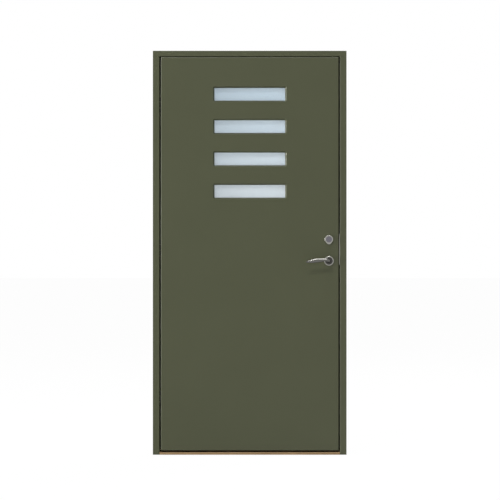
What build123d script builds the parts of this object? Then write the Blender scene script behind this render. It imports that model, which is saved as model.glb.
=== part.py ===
from build123d import *
import math
import os

os.makedirs("parts", exist_ok=True)

# The frame stands on z = 0, its outer face lies at y = 0 and y grows towards the inside of the house.
# x runs from the hinge side, on the left seen from outside, to the lock side.

# Frame
FRAME_W = 990.0
FRAME_H = 2065.0
FRAME_D = 105.0
JAMB_FACE = 34.0
HEAD_FACE = 29.0
STOP_PROUD = 20.0
FRAME_ARRIS = 4.0
JOINT_V = 1.4

# Leaf, its gaps in the frame and its build-up
GAP_HINGE = 7.0
GAP_LOCK = 6.0
GAP_TOP = 3.0
LEAF_BOTTOM = 22.0
LEAF_D = 62.0
SKIN = 5.0
HINGE_STILE = 64.0
LOCK_STILE = 110.0
BLOCK_LOW = 900.0
BLOCK_HIGH = 1192.0
TOP_RAIL = 80.0
BOTTOM_RAIL = 100.0
LEAF_ARRIS = 4.0

# Oak threshold
SILL_FRONT = 12.5
SILL_BACK = 32.0
SILL_FALL = 2.5
SILL_NOSE = 2.5

# Seal on the stop, squeezed almost to the leaf
SEAL_ROOM = 5.0
SEAL_W = 8.0
SEAL_AIR = 0.3
SEAL_SETBACK = 1.0
SEAL_TONGUE_W = 3.0
SEAL_TONGUE = 5.0

# Glazed slots
WINDOWS = 4
WINDOW_W = 378.0
WINDOW_H = 81.5
WINDOW_R = 11.0
WINDOW_TOP = 1843.5
WINDOW_PITCH = 165.5
SLOPE = 8.3
BEAD_EDGE = 0.8
UNIT_EDGE = 4.0
UNIT_Y = 10.0
PANE = 4.0
SPACER_D = 16.0
SPACER_W = 7.0
SPACER_SETBACK = 1.5
LINER = 20.0
LINER_AIR = 2.0
LINER_R = 3.0
INNER_LIP = 5.0
INNER_LIP_T = 2.0
BEAD_AIR = 0.5

# Hinges with two crossing arms, in plan from the middle of the gap
HINGE_Z = (285.0, 1060.0, 1790.0)
PIN_FAR = (27.0, 11.5)
PIN_NEAR = (18.0, 14.5)
HINGE_PIN_R = 1.5
PIN_FIT = 0.05
OPEN_PIVOT_R = 2.5
EYE_R = 3.8
ARM_W = 7.0
ARM_BACK = 32.0
CAVITY_X = 34.0
CAVITY_Y0 = 7.0
CAVITY_Y1 = 40.0
CUP_WALL = 2.0
MIDDLE_ROOM = 28.0
OUTER_ROOM = 22.0
SHELF = 3.0
ARM_AIR = 0.4
FLANGE_T = 3.0
FLANGE_H = 132.0
FLANGE_SCREW = 54.0

# Screws
SCREW_R = 2.25
SCREW_HEAD_R = 4.2
SCREW_HEAD = 2.4
SCREW_L = 26.0
DRIVE_R = 1.6
DRIVE_DEEP = 1.4

# Lock
BACKSET = 50.0
HANDLE_Z = 991.0
CYLINDER_Z = 1101.0
FOREND_W = 22.0
FOREND_T = 3.0
FOREND_H = 235.0
FOREND_Z = 1046.0
CASE_W = 18.0
CASE_DEEP = 88.0
CASE_H = 175.0
CASE_AIR = 0.5
LATCH_W = 14.0
LATCH_H = 18.0
LATCH_Z = 993.0
LATCH_L = 36.0
LATCH_SLOPE = 10.5
BOLT_W = 12.0
BOLT_H = 34.0
BOLT_Z = 1056.0
BOLT_L = 50.0
BOLT_FIT = 0.15
FOLLOWER_R = 10.0
FOLLOWER_FIT = 0.05
SPINDLE = 8.0
SPINDLE_OUT = 34.0

# Strike plate on the lock jamb
STRIKE_T = 3.5
STRIKE_LOW = 970.0
STRIKE_HIGH = 1129.0
STRIKE_Y0 = 3.0
STRIKE_Y1 = 52.0
STRIKE_AIR = 2.0
BOX_WALL = 1.5
BOX_DEEP = 25.0

# Roses and levers
ROSE_R = 24.5
ROSE_T = 8.0
ROSE_RIM = 5.0
ROSE_EASE = 2.0
ROSE_GROOVE = 2.2
ROSE_GROOVE_W = 1.5
ROSE_SUNK = 1.0
ROSE_HOLLOW = 4.0
ROSE_WALL = 1.8
NECK_R = 8.5
NECK_FIT = 0.1
NECK_START = 1.0
LEVER_OUT = 50.0
LEVER_L = 119.0
# The grip's sections: share of its length from the neck, height of the middle, half height, half depth
LEVER_SECTIONS = (
    (0.0, 3.6, 9.2, 7.6),
    (0.18, 5.4, 7.8, 6.4),
    (0.38, 3.8, 9.2, 6.4),
    (0.59, 1.6, 9.8, 6.4),
    (0.77, -0.6, 7.6, 5.8),
    (0.92, -4.6, 4.4, 4.4),
)
LEVER_TIP_Z = -7.6
LEVER_TIP = (1.4, 1.6)
KNUCKLE_R = 9.6
KNUCKLE_UP = 1.5

# Cylinder and thumb turn
RING_R = 21.3
RING_TIP_R = 14.0
RING_TIP_DROP = 11.7
RING_T = 9.0
RING_EASE = 2.2
CYLINDER_R = 16.2
CYLINDER_SINK = 2.0
PLUG_R = 7.0
PLUG_FIT = 0.05
PLUG_IN = 20.0
KEYWAY_W = 1.8
KEYWAY_H = 9.0
KEYWAY_DEEP = 14.0
TAIL_T = 2.4
TAIL_H = 10.0
TAIL_AIR = 2.0
TAIL_ROOM = 1.0
TURN_R = 5.0
TURN_FIT = 0.08
TURN_WIDE = 14.0
TURN_LONG = 32.0
TURN_GRIP = 16.0
TURN_OUT = 24.0
TURN_EASE = 2.0

# Bolts through the leaf
BOLT_R = 2.5
BOLT_HOLE_R = 2.7
BOLT_HEAD_R = 4.0
BOLT_HEAD = 3.0
BOLT_IN = 9.0
POST_R = 4.0
POST_IN = 16.0
ROSE_BOLT_OFF = 18.0
CYL_BOLT_OFF = 12.0

# Sleeves for the screws that hold the frame in the wall
SLEEVE_R = 9.0
SLEEVE_HOLE_R = 5.0
SLEEVE_Z0 = 200.0
SLEEVE_PITCH = 520.0
SLEEVES = 4
CORNER_SCREW_L = 90.0
CORNER_SCREW_R = 2.5

# Worked out from the sizes above
REBATE = LEAF_D + SEAL_ROOM
SLEEVE_Y = (REBATE + FRAME_D) / 2
IN_L = -FRAME_W / 2 + JAMB_FACE
IN_R = FRAME_W / 2 - JAMB_FACE
IN_TOP = FRAME_H - HEAD_FACE
LEAF_L = IN_L + GAP_HINGE
LEAF_R = IN_R - GAP_LOCK
LEAF_TOP = IN_TOP - GAP_TOP
LEAF_MID = (LEAF_L + LEAF_R) / 2
HINGE_X = IN_L + GAP_HINGE / 2
LOCK_X = LEAF_R - BACKSET
LOCK_Y = LEAF_D / 2
STOP_L = IN_L + STOP_PROUD
STOP_R = IN_R - STOP_PROUD
STOP_TOP = IN_TOP - STOP_PROUD + GAP_HINGE - GAP_TOP
UNIT_W = WINDOW_W + 2 * UNIT_EDGE
UNIT_H = WINDOW_H + 2 * UNIT_EDGE
GLASS_W = WINDOW_W - 2 * SLOPE
GLASS_H = WINDOW_H - 2 * SLOPE
INNER_PANE_Y = UNIT_Y + PANE + SPACER_D
UNIT_BACK = INNER_PANE_Y + PANE
CUP_HALF = MIDDLE_ROOM / 2 + OUTER_ROOM + 2 * SHELF
WINDOW_Z = [WINDOW_TOP - i * WINDOW_PITCH for i in range(WINDOWS)]


def span(x0, x1, y0, y1, z0, z1):
    """A straight block between two corners."""
    return Pos((x0 + x1) / 2, (y0 + y1) / 2, (z0 + z1) / 2) * Box(x1 - x0, y1 - y0, z1 - z0)


def rod_x(x0, x1, y, z, r):
    return Pos((x0 + x1) / 2, y, z) * Rot(0, 90, 0) * Cylinder(r, x1 - x0)


def rod_y(y0, y1, x, z, r):
    return Pos(x, (y0 + y1) / 2, z) * Rot(90, 0, 0) * Cylinder(r, y1 - y0)


def rod_z(z0, z1, x, y, r):
    return Pos(x, y, (z0 + z1) / 2) * Cylinder(r, z1 - z0)


def face_on(y):
    """A drawing plane facing the outside, with x to the right and z up, at depth y."""
    return Plane(origin=(0, y, 0), x_dir=(1, 0, 0), z_dir=(0, -1, 0))


def slot(width, height, radius, y0, y1, z):
    """A block with rounded corners, centred on the leaf at height z."""
    sketch = Pos(LEAF_MID, z) * RectangleRounded(width, height, radius)
    return extrude(face_on(y1) * sketch, amount=y1 - y0)


def one(shape):
    """The single solid of a shape."""
    solids = shape.solids()
    return solids[0] if len(solids) == 1 else shape


def group(solids):
    return Compound(children=[s for item in solids for s in item.solids()])


def save(shape, name):
    export_step(shape, f"parts/{name}.step")


# Screws

def screw_x(x, y, z, way, length=SCREW_L):
    """A countersunk screw whose head is flush at x and whose tip lies at way times its length."""
    head = Pos(x + way * SCREW_HEAD / 2, y, z) * Rot(0, 90 * way, 0) * Cone(SCREW_HEAD_R, SCREW_R, SCREW_HEAD)
    shank = rod_x(*sorted((x + way * SCREW_HEAD, x + way * (length - SCREW_R))), y, z, SCREW_R)
    tip_x = x + way * (length - SCREW_R / 2)
    tip = Pos(tip_x, y, z) * Rot(0, 90 * way, 0) * Cone(SCREW_R, 0.4, SCREW_R)
    drive = Pos(x + way * DRIVE_DEEP / 2, y, z) * Rot(0, 90, 0) * extrude(
        RegularPolygon(DRIVE_R, 6), amount=DRIVE_DEEP / 2, both=True)
    return one(head + shank + tip - drive)


def screw_room(x, y, z, way, length=SCREW_L):
    """The space that such a screw fills, to be cut from what it holds."""
    head = Pos(x + way * SCREW_HEAD / 2, y, z) * Rot(0, 90 * way, 0) * Cone(SCREW_HEAD_R, SCREW_R, SCREW_HEAD)
    shank = rod_x(*sorted((x + way * SCREW_HEAD, x + way * length)), y, z, SCREW_R)
    return head + shank


# Hinges

def plan_x(x, side):
    return HINGE_X + side * x


def cup(z, side):
    """One half of a hinge: a cast cup with three rooms and a flange, let into the wood."""
    mouth = plan_x(GAP_HINGE / 2, side)
    under = plan_x(GAP_HINGE / 2 + FLANGE_T, side)
    back = plan_x(CAVITY_X + CUP_WALL, side)
    y0, y1 = CAVITY_Y0 - CUP_WALL, CAVITY_Y1 + CUP_WALL
    body = span(*sorted((under, back)), y0, y1, z - CUP_HALF, z + CUP_HALF)
    flange = span(*sorted((mouth, under)), y0, y1, z - FLANGE_H / 2, z + FLANGE_H / 2)
    ends = flange.edges().filter_by(Axis.X)
    shape = body + fillet(ends, 4.0)
    floor = plan_x(CAVITY_X, side)
    beyond = plan_x(-1, side)
    for low, high in rooms():
        shape -= span(*sorted((beyond, floor)), CAVITY_Y0, CAVITY_Y1, z + low, z + high)
    for x, y, low, high in pins(side):
        shape -= rod_z(z + low, z + high, plan_x(x, side), y, HINGE_PIN_R)
    for dz in (-FLANGE_SCREW, FLANGE_SCREW):
        shape -= screw_room(mouth, (y0 + y1) / 2, z + dz, side)
    return one(shape)


def rooms():
    """The heights of the three rooms of a cup, from its middle."""
    half = MIDDLE_ROOM / 2
    return ((-half - SHELF - OUTER_ROOM, -half - SHELF), (-half, half), (half + SHELF, half + SHELF + OUTER_ROOM))


def pins(side):
    """Plan place and heights of the pins of one cup. The far pin runs through, the near one is short."""
    half = MIDDLE_ROOM / 2
    reach = CUP_HALF - SHELF / 2
    far = (*PIN_FAR, -reach, reach)
    if side < 0:
        return (far, (*PIN_NEAR, -half - SHELF / 2, half + SHELF / 2))
    return (far, (*PIN_NEAR, -reach, -half - SHELF / 2), (*PIN_NEAR, half + SHELF / 2, reach))


def hinge_pins(side):
    out = []
    for z in HINGE_Z:
        out += [rod_z(z + low, z + high, plan_x(x, side), y, HINGE_PIN_R) for x, y, low, high in pins(side)]
    return group(out)


def arm(start, end, start_hole, end_hole, low, high):
    """A cranked flat arm from the eye at start to the eye at end, both in plan from the gap's middle."""
    path = Polyline(
        start,
        (start[0] - 0.5, ARM_BACK - 8),
        (start[0] + 7, ARM_BACK),
        (end[0] - 7, ARM_BACK),
        (end[0] + 0.5, ARM_BACK - 8),
        end,
    )
    bar = band(path, ARM_W / 2)
    bar += Pos(*start) * Circle(EYE_R)
    bar += Pos(*end) * Circle(EYE_R)
    bar -= Pos(*start) * Circle(start_hole)
    bar -= Pos(*end) * Circle(end_hole)
    return Pos(HINGE_X, 0, low) * extrude(bar, amount=high - low)


def band(path, radius):
    """The band of all points within radius of a path of straight runs."""
    points = [(v.X, v.Y) for v in path.vertices()]
    bar = None
    for a, b in zip(points, points[1:]):
        length = math.dist(a, b)
        angle = math.degrees(math.atan2(b[1] - a[1], b[0] - a[0]))
        run = Pos((a[0] + b[0]) / 2, (a[1] + b[1]) / 2) * Rot(0, 0, angle) * SlotCenterToCenter(length, 2 * radius)
        bar = run if bar is None else bar + run
    return bar


def far_arms():
    """The arms that turn on the far pins of the frame: an upper and a lower one in each hinge."""
    low_room, _, high_room = rooms()
    out = []
    for z in HINGE_Z:
        for low, high in (low_room, high_room):
            out.append(arm(
                (-PIN_FAR[0], PIN_FAR[1]), PIN_NEAR, HINGE_PIN_R + PIN_FIT, HINGE_PIN_R + PIN_FIT,
                z + low + ARM_AIR, z + high - ARM_AIR))
    return group(out)


def middle_arms():
    """The middle arms, on the near pins of the frame. Their far end is the open pivot of the linkage."""
    _, (low, high), _ = rooms()
    out = [arm((-PIN_NEAR[0], PIN_NEAR[1]), PIN_FAR, HINGE_PIN_R + PIN_FIT, OPEN_PIVOT_R,
               z + low + ARM_AIR, z + high - ARM_AIR) for z in HINGE_Z]
    return group(out)


def cup_pocket(side):
    """What the three cups, their flanges and screws take out of the wood on one side."""
    mouth = plan_x(GAP_HINGE / 2 - 1, side)
    under = plan_x(GAP_HINGE / 2 + FLANGE_T, side)
    back = plan_x(CAVITY_X + CUP_WALL, side)
    y0, y1 = CAVITY_Y0 - CUP_WALL, CAVITY_Y1 + CUP_WALL
    out = None
    for z in HINGE_Z:
        room = span(*sorted((mouth, back)), y0, y1, z - CUP_HALF, z + CUP_HALF)
        flange = span(*sorted((mouth, under)), y0, y1, z - FLANGE_H / 2, z + FLANGE_H / 2)
        room += fillet(flange.edges().filter_by(Axis.X), 4.0)
        for dz in (-FLANGE_SCREW, FLANGE_SCREW):
            room += screw_room(plan_x(GAP_HINGE / 2, side), (y0 + y1) / 2, z + dz, side)
        out = room if out is None else out + room
    return out


def cup_screws(side):
    mouth = plan_x(GAP_HINGE / 2, side)
    middle = (CAVITY_Y0 + CAVITY_Y1) / 2
    return group([screw_x(mouth, middle, z + dz, side) for z in HINGE_Z for dz in (-FLANGE_SCREW, FLANGE_SCREW)])


# Frame

def seal_ring(inset, width, y0, y1):
    """A flat ring on the stop, inset from the line where the stop starts to cover the leaf."""
    x0, x1 = STOP_L - SEAL_SETBACK - inset, STOP_R + SEAL_SETBACK + inset
    z0, z1 = SILL_BACK - SEAL_SETBACK - inset, STOP_TOP + SEAL_SETBACK + inset
    hole = span(x0, x1, y0 - 1, y1 + 1, z0, z1)
    return span(x0 - width, x1 + width, y0, y1, z0 - width, z1 + width) - hole


def seal():
    bulb = seal_ring(SEAL_SETBACK, SEAL_W - SEAL_SETBACK, LEAF_D + SEAL_AIR, REBATE)
    outer = bulb.edges().filter_by(lambda e: abs(e.center().Y - LEAF_D - SEAL_AIR) < 0.01)
    bulb = fillet(outer, 1.5)
    return one(bulb + seal_ring((SEAL_W - SEAL_TONGUE_W) / 2, SEAL_TONGUE_W, REBATE, REBATE + SEAL_TONGUE))


def seal_groove():
    return seal_ring((SEAL_W - SEAL_TONGUE_W) / 2, SEAL_TONGUE_W, REBATE - 1, REBATE + SEAL_TONGUE)


def jamb(side):
    """A jamb of solid wood, a plank on edge beside the leaf."""
    outer = side * FRAME_W / 2
    inner = outer - side * JAMB_FACE
    face = span(*sorted((outer, inner)), 0, FRAME_D, 0, IN_TOP)
    nose = face.edges().filter_by(Axis.Z).sort_by(lambda e: abs(e.center().X) + e.center().Y)[0]
    shape = fillet(nose, FRAME_ARRIS)
    shape -= joint_groove(*sorted((outer, inner)))
    for z in sleeve_heights():
        shape -= rod_x(*sorted((outer, inner)), SLEEVE_Y, z, SLEEVE_R)
    for y in (REBATE / 2, SLEEVE_Y):
        shape -= rod_z(IN_TOP - CORNER_SCREW_L, IN_TOP, (outer + inner) / 2, y, CORNER_SCREW_R)
    return shape


def joint_groove(x0, x1):
    """The fine V where the head meets a jamb, eased on both pieces."""
    return Pos((x0 + x1) / 2, 0, IN_TOP) * Rot(45, 0, 0) * Box(x1 - x0, JOINT_V, JOINT_V)


def hinge_jamb():
    return one(jamb(-1) - cup_pocket(-1))


def lock_jamb():
    shape = jamb(1) - strike_box_room()
    for z in strike_screw_heights():
        shape -= screw_room(IN_R - STRIKE_T, LOCK_Y, z, 1)
    return one(shape)


def head():
    """The head runs over both jambs."""
    shape = span(-FRAME_W / 2, FRAME_W / 2, 0, FRAME_D, IN_TOP, FRAME_H)
    corner = span(IN_L, IN_R, -1, FRAME_ARRIS, IN_TOP - 1, IN_TOP + FRAME_ARRIS)
    shape -= corner - rod_x(IN_L, IN_R, FRAME_ARRIS, IN_TOP + FRAME_ARRIS, FRAME_ARRIS)
    shape -= joint_groove(-FRAME_W / 2, IN_L) + joint_groove(IN_R, FRAME_W / 2)
    for x in (-1, 1):
        for y in (REBATE / 2, SLEEVE_Y):
            at = x * (FRAME_W - JAMB_FACE) / 2
            shape -= rod_z(IN_TOP, FRAME_H, at, y, CORNER_SCREW_R)
            shape -= rod_z(FRAME_H - 5, FRAME_H, at, y, 2 * CORNER_SCREW_R)
    return one(shape)


def door_stops():
    """Three strips glued to the jambs and the head, which the closed leaf stops against."""
    strips = (
        span(IN_L, STOP_L, REBATE, FRAME_D, SILL_BACK, IN_TOP),
        span(STOP_R, IN_R, REBATE, FRAME_D, SILL_BACK, IN_TOP),
        span(STOP_L, STOP_R, REBATE, FRAME_D, STOP_TOP, IN_TOP),
    )
    out = []
    for strip in strips:
        strip -= seal_groove()
        for z in sleeve_heights():
            strip -= rod_x(-FRAME_W / 2, FRAME_W / 2, SLEEVE_Y, z, SLEEVE_R)
        out.append(strip)
    return group(out)


def corner_screws():
    """Four long screws down through the head into the jambs."""
    out = []
    for x in (-1, 1):
        for y in (REBATE / 2, SLEEVE_Y):
            at = x * (FRAME_W - JAMB_FACE) / 2
            shank = rod_z(IN_TOP - CORNER_SCREW_L + 2, FRAME_H - 5, at, y, CORNER_SCREW_R)
            out.append(shank + rod_z(FRAME_H - 5, FRAME_H - 1, at, y, 2 * CORNER_SCREW_R))
    return group(out)


def sill():
    """The threshold between the jambs: a low weathered front and a step behind the leaf."""
    points = [
        (0, 0), (FRAME_D, 0), (FRAME_D, SILL_BACK), (REBATE, SILL_BACK),
        (REBATE, SILL_FRONT + SILL_FALL), (0, SILL_FRONT),
    ]
    across = Plane(origin=(IN_L, 0, 0), x_dir=(0, 1, 0), z_dir=(1, 0, 0))
    return extrude(across * make_face(Polyline(*points, close=True)), amount=IN_R - IN_L)


def threshold():
    shape = sill()
    edge = shape.edges().filter_by(Axis.X).filter_by(
        lambda e: abs(e.center().Y) < 0.01 and e.center().Z > 1)
    shape = fillet(edge, SILL_NOSE)
    shape -= seal_groove()
    return one(shape)


def sleeve_heights():
    return [SLEEVE_Z0 + i * SLEEVE_PITCH for i in range(SLEEVES)]


def fixing_sleeves():
    """Steel sleeves through the jambs, for the screws that hold the frame in the wall."""
    out = []
    for outer, stop in ((-FRAME_W / 2, STOP_L), (FRAME_W / 2, STOP_R)):
        for z in sleeve_heights():
            ends = sorted((outer, stop))
            out.append(rod_x(*ends, SLEEVE_Y, z, SLEEVE_R) - rod_x(*ends, SLEEVE_Y, z, SLEEVE_HOLE_R))
    return group(out)


# Strike

def strike_screw_heights():
    return (STRIKE_LOW + 7.0, (LATCH_Z + BOLT_Z) / 2 - 2, STRIKE_HIGH - 7.0)


def strike_windows(x0, x1, air):
    """The spaces for the latch and for the dead bolt in the strike."""
    out = None
    for width, height, z in ((LATCH_W, LATCH_H, LATCH_Z), (BOLT_W, BOLT_H, BOLT_Z)):
        hole = span(x0, x1, LOCK_Y - width / 2 - air, LOCK_Y + width / 2 + air,
                    z - height / 2 - air, z + height / 2 + air)
        out = hole if out is None else out + hole
    return out


def strike_plate():
    """A flat steel plate on the jamb's inner side, which fills most of the gap beside the leaf."""
    x0 = IN_R - STRIKE_T
    plate = span(x0, IN_R, STRIKE_Y0, STRIKE_Y1, STRIKE_LOW, STRIKE_HIGH)
    plate = fillet(plate.edges().filter_by(Axis.X), 3.0)
    plate -= strike_windows(x0 - 1, IN_R + 1, STRIKE_AIR)
    for z in strike_screw_heights():
        plate -= screw_room(x0, LOCK_Y, z, 1)
    return one(plate)


def strike_boxes(grow, x0, x1):
    out = None
    for width, height, z in ((LATCH_W, LATCH_H, LATCH_Z), (BOLT_W, BOLT_H, BOLT_Z)):
        box = span(x0, x1, LOCK_Y - width / 2 - grow, LOCK_Y + width / 2 + grow,
                   z - height / 2 - grow, z + height / 2 + grow)
        out = box if out is None else out + box
    return out


def strike_box_room():
    return strike_boxes(STRIKE_AIR + BOX_WALL, IN_R - 1, IN_R + BOX_DEEP)


def strike_box():
    """Two moulded dust boxes behind the plate, let into the jamb."""
    outer = strike_boxes(STRIKE_AIR + BOX_WALL, IN_R, IN_R + BOX_DEEP)
    return outer - strike_windows(IN_R - 1, IN_R + BOX_DEEP - BOX_WALL, STRIKE_AIR)


def strike_screws():
    return group([screw_x(IN_R - STRIKE_T, LOCK_Y, z, 1) for z in strike_screw_heights()])


# Leaf

def window_cut(width, height, radius, y0, y1):
    out = None
    for z in WINDOW_Z:
        hole = slot(width, height, radius, y0, y1, z)
        out = hole if out is None else out + hole
    return out


def outer_skin():
    """The painted outer board, with eased edges and four slots."""
    board = span(LEAF_L, LEAF_R, 0, SKIN, LEAF_BOTTOM, LEAF_TOP)
    rim = board.faces().sort_by(Axis.Y)[0].edges()
    board = fillet(rim, LEAF_ARRIS)
    board -= window_cut(WINDOW_W, WINDOW_H, WINDOW_R, -1, SKIN + 1)
    board -= rod_y(-1, SKIN + 1, LOCK_X, HANDLE_Z, FOLLOWER_R)
    board -= rod_y(-1, SKIN + 1, LOCK_X, CYLINDER_Z, CYLINDER_R)
    for x, z in rose_bolt_places():
        board -= rod_y(-1, SKIN + 1, x, z, POST_R)
    return one(board)


def inner_skin():
    y0 = LEAF_D - SKIN
    board = span(LEAF_L, LEAF_R, y0, LEAF_D, LEAF_BOTTOM, LEAF_TOP)
    rim = board.faces().sort_by(Axis.Y)[-1].edges()
    board = fillet(rim, 1.5)
    grow = 2 * BEAD_AIR
    board -= window_cut(UNIT_W + grow, UNIT_H + grow, WINDOW_R + UNIT_EDGE, y0 - 1, LEAF_D + 1)
    board -= rod_y(y0 - 1, LEAF_D + 1, LOCK_X, HANDLE_Z, FOLLOWER_R)
    board -= rod_y(y0 - 1, LEAF_D + 1, LOCK_X, CYLINDER_Z, CYLINDER_R)
    board -= bolt_room(y0 - 1, LEAF_D + 1)
    return one(board)


def hinge_stile():
    wood = span(LEAF_L, LEAF_L + HINGE_STILE, SKIN, LEAF_D - SKIN, LEAF_BOTTOM, LEAF_TOP)
    return one(wood - cup_pocket(1))


def stile_length(z0, z1):
    return span(LEAF_R - LOCK_STILE, LEAF_R, SKIN, LEAF_D - SKIN, z0, z1)


def lock_stile():
    """The stile's two lengths, below and above the lock block."""
    return group([stile_length(LEAF_BOTTOM, BLOCK_LOW), stile_length(BLOCK_HIGH, LEAF_TOP)])


def lock_block():
    """A block of hardwood between the stile's two lengths, mortised for the lock."""
    wood = stile_length(BLOCK_LOW, BLOCK_HIGH)
    wood -= forend_blank(LEAF_R + 1)
    wood -= case_blank(CASE_AIR)
    wood -= rod_y(SKIN - 1, LEAF_D, LOCK_X, HANDLE_Z, FOLLOWER_R)
    wood -= rod_y(SKIN - 1, LEAF_D, LOCK_X, CYLINDER_Z, CYLINDER_R)
    wood -= bolt_room(POST_IN, LEAF_D)
    for x, z in rose_bolt_places():
        wood -= rod_y(0, POST_IN, x, z, POST_R)
    for z in forend_screw_heights():
        wood -= screw_room(LEAF_R, LOCK_Y, z, -1)
    return one(wood)


def rail(z0, z1):
    return span(LEAF_L + HINGE_STILE, LEAF_R - LOCK_STILE, SKIN, LEAF_D - SKIN, z0, z1)


def core():
    """The insulation between the stiles and rails, cut out round the window liners."""
    foam = rail(LEAF_BOTTOM + BOTTOM_RAIL, LEAF_TOP - TOP_RAIL)
    liner_w, liner_h = liner_size(LINER)
    return one(foam - window_cut(liner_w, liner_h, 1.0, 0, LEAF_D))


def liner_size(wall):
    return UNIT_W + 2 * (LINER_AIR + wall), UNIT_H + 2 * (LINER_AIR + wall)


def window_liners():
    """Wooden linings round the four glass units."""
    outer = liner_size(LINER)
    inner = liner_size(0)
    out = []
    for z in WINDOW_Z:
        ring = slot(*outer, 1.0, SKIN, LEAF_D - SKIN, z)
        out.append(ring - slot(*inner, LINER_R, 0, LEAF_D, z))
    return group(out)


def funnel(y_wide, y_narrow, z):
    """The sloping reveal: wide at the face and as small as the seen glass at the pane."""
    wide = Pos(LEAF_MID, z) * RectangleRounded(
        WINDOW_W - 2 * BEAD_EDGE, WINDOW_H - 2 * BEAD_EDGE, WINDOW_R - BEAD_EDGE)
    narrow = Pos(LEAF_MID, z) * RectangleRounded(GLASS_W, GLASS_H, max(WINDOW_R - SLOPE, 1.5))
    return loft([face_on(y_wide) * wide, face_on(y_narrow) * narrow])


def outer_bead(z):
    """A painted ring round the glass: its flange lies behind the skin and its slope shows."""
    ring = slot(WINDOW_W, WINDOW_H, WINDOW_R, 0, SKIN, z)
    ring += slot(UNIT_W, UNIT_H, WINDOW_R + UNIT_EDGE, SKIN, UNIT_Y, z)
    return one(ring - funnel(0, UNIT_Y, z))


def inner_bead(z):
    """The inner ring, put in from the room and lipped over the skin's edge."""
    ring = slot(UNIT_W, UNIT_H, WINDOW_R + UNIT_EDGE, UNIT_BACK, LEAF_D, z)
    lip = slot(UNIT_W + 2 * INNER_LIP, UNIT_H + 2 * INNER_LIP, WINDOW_R + UNIT_EDGE + INNER_LIP,
               LEAF_D, LEAF_D + INNER_LIP_T, z)
    lip = fillet(lip.faces().sort_by(Axis.Y)[-1].edges(), 1.2)
    return one(ring + lip - funnel(LEAF_D + INNER_LIP_T, UNIT_BACK, z))


def pane(y, z):
    return one(slot(UNIT_W, UNIT_H, 2.0, y, y + PANE, z))


def spacer(z):
    """The metal spacer between the two panes."""
    back = SPACER_SETBACK
    y0 = UNIT_Y + PANE
    ring = slot(UNIT_W - 2 * back, UNIT_H - 2 * back, 2.0, y0, y0 + SPACER_D, z)
    thick = back + SPACER_W
    return ring - slot(UNIT_W - 2 * thick, UNIT_H - 2 * thick, 1.0, y0 - 1, y0 + SPACER_D + 1, z)


# Lock

def forend_blank(x1=LEAF_R):
    shape = span(LEAF_R - FOREND_T, x1, LOCK_Y - FOREND_W / 2, LOCK_Y + FOREND_W / 2,
                 FOREND_Z - FOREND_H / 2, FOREND_Z + FOREND_H / 2)
    return fillet(shape.edges().filter_by(Axis.X), FOREND_W / 2 - 0.5)


def forend_screw_heights():
    reach = FOREND_H / 2 - 11.0
    return (FOREND_Z - reach, FOREND_Z + reach)


def case_blank(air):
    back = LEAF_R - FOREND_T - CASE_DEEP
    return span(back - air, LEAF_R - FOREND_T, LOCK_Y - CASE_W / 2 - air, LOCK_Y + CASE_W / 2 + air,
                FOREND_Z - CASE_H / 2 - air, FOREND_Z + CASE_H / 2 + air)


def bolt_block(width, height, z, length, air=0.0, travel=0.0):
    return span(LEAF_R - length - travel, LEAF_R + air, LOCK_Y - width / 2 - air, LOCK_Y + width / 2 + air,
                z - height / 2 - air, z + height / 2 + air)


def bolt_ways():
    """The channels that the latch and the dead bolt slide in, through the case and the forend."""
    return (bolt_block(LATCH_W, LATCH_H, LATCH_Z, LATCH_L, BOLT_FIT, BOLT_FIT)
            + bolt_block(BOLT_W, BOLT_H, BOLT_Z, BOLT_L, BOLT_FIT, BOLT_FIT))


def lock_case():
    """The sheet steel lock case, left solid round its moving parts."""
    case = case_blank(0)
    case = fillet(case.edges().filter_by(Axis.Y), 3.0)
    case -= bolt_ways()
    y0, y1 = LOCK_Y - CASE_W, LOCK_Y + CASE_W
    case -= rod_y(y0, y1, LOCK_X, HANDLE_Z, FOLLOWER_R + FOLLOWER_FIT)
    case -= rod_y(y0, y1, LOCK_X, CYLINDER_Z, PLUG_R + TAIL_ROOM)
    case -= bolt_room(y0, y1)
    return one(case)


def forend():
    plate = forend_blank() - bolt_ways()
    for z in forend_screw_heights():
        plate -= screw_room(LEAF_R, LOCK_Y, z, -1)
    return one(plate)


def forend_screws():
    return group([screw_x(LEAF_R, LOCK_Y, z, -1) for z in forend_screw_heights()])


def latch_bolt():
    """The sprung latch, drawn in flush with the forend, with a slope on the side that meets the strike."""
    body = bolt_block(LATCH_W, LATCH_H, LATCH_Z, LATCH_L)
    leading = body.edges().filter_by(Axis.Z).sort_by(lambda e: e.center().X + e.center().Y)[-1]
    return one(chamfer(leading, LATCH_SLOPE))


def dead_bolt():
    body = bolt_block(BOLT_W, BOLT_H, BOLT_Z, BOLT_L)
    nose = body.faces().sort_by(Axis.X)[-1].edges()
    return one(chamfer(nose, 1.0))


def follower():
    """The lock's hub, turned by the square spindle."""
    hub = rod_y(LOCK_Y - CASE_W / 2, LOCK_Y + CASE_W / 2, LOCK_X, HANDLE_Z, FOLLOWER_R)
    return one(hub - spindle_bar(LOCK_Y - CASE_W, LOCK_Y + CASE_W))


def spindle_bar(y0, y1):
    return span(LOCK_X - SPINDLE / 2, LOCK_X + SPINDLE / 2, y0, y1, HANDLE_Z - SPINDLE / 2, HANDLE_Z + SPINDLE / 2)


def spindle():
    bar = spindle_bar(-SPINDLE_OUT, LEAF_D + SPINDLE_OUT)
    return one(chamfer(bar.faces().sort_by(Axis.Y)[0].edges(), 0.8))


# Furniture

def turned(points, z, y_face, way):
    """A turned part round a y axis: points are (radius, height off the leaf's face)."""
    solid = revolve(make_face(Polyline(*points, close=True)), Axis.Y)
    return Pos(LOCK_X, y_face, z) * (solid if way > 0 else mirror(solid, Plane.XZ))


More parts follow.
